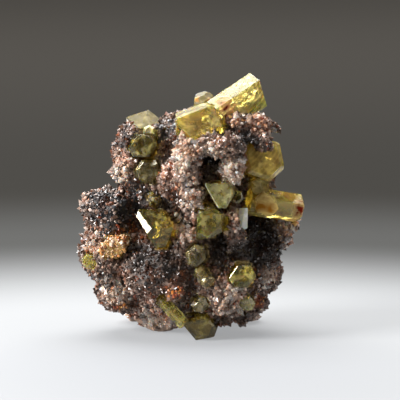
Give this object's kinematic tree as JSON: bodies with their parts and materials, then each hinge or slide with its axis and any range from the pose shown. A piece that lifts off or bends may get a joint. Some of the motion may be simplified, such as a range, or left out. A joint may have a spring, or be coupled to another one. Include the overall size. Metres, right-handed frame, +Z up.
{
  "type": "fluorapatite in quartz mineral specimen",
  "caption": "Hand specimen of transparent yellow six-sided fluorapatite crystals seated in a rough quartz-crusted rock matrix that stands by itself.",
  "frame": {"origin": "middle of the specimen's outline, on the surface it stands on", "axes": "+Z up, the display side faces -Y, +X to the viewer's right"},
  "size_m": [0.0594, 0.045, 0.0683],
  "materials": {
    "quartz_rock": "rough, with a sparkling quartz crust",
    "fluorapatite_golden": "transparent, glassy",
    "fluorapatite_pale": "translucent, glassy",
    "fluorapatite_dull": "translucent, dull",
    "fluorapatite_stained": "iron-stained, rough"
  },
  "bodies": {
    "root": {"quartz_matrix": "quartz_rock", "crown_crystal": "fluorapatite_golden", "crown_front_crystal": "fluorapatite_golden", "crown_back_crystal": "fluorapatite_pale", "tower_top_crystal": "fluorapatite_pale", "tower_face_crystal": "fluorapatite_golden", "tower_sliver": "fluorapatite_pale", "tower_low_crystal": "fluorapatite_dull", "slot_crystal": "fluorapatite_dull", "hero_crystal": "fluorapatite_golden", "middle_pale_crystal": "fluorapatite_pale", "middle_small_crystal": "fluorapatite_golden", "middle_dark_crystal": "fluorapatite_golden", "blade_crystal": "fluorapatite_golden", "low_round_crystal": "fluorapatite_dull", "low_bar_crystal": "fluorapatite_dull", "right_flat_crystal": "fluorapatite_pale", "right_fan_crystal": "fluorapatite_pale", "low_wedge_crystal": "fluorapatite_dull", "long_low_crystal": "fluorapatite_golden", "foot_crystal": "fluorapatite_golden", "right_big_crystal": "fluorapatite_golden", "right_long_crystal": "fluorapatite_golden", "left_edge_crystal": "fluorapatite_golden", "stained_crystal": "fluorapatite_stained", "back_high_crystal": "fluorapatite_golden", "back_middle_crystal": "fluorapatite_golden", "back_low_crystal": "fluorapatite_pale", "back_left_crystal": "fluorapatite_golden"}
  },
  "joints": []
}
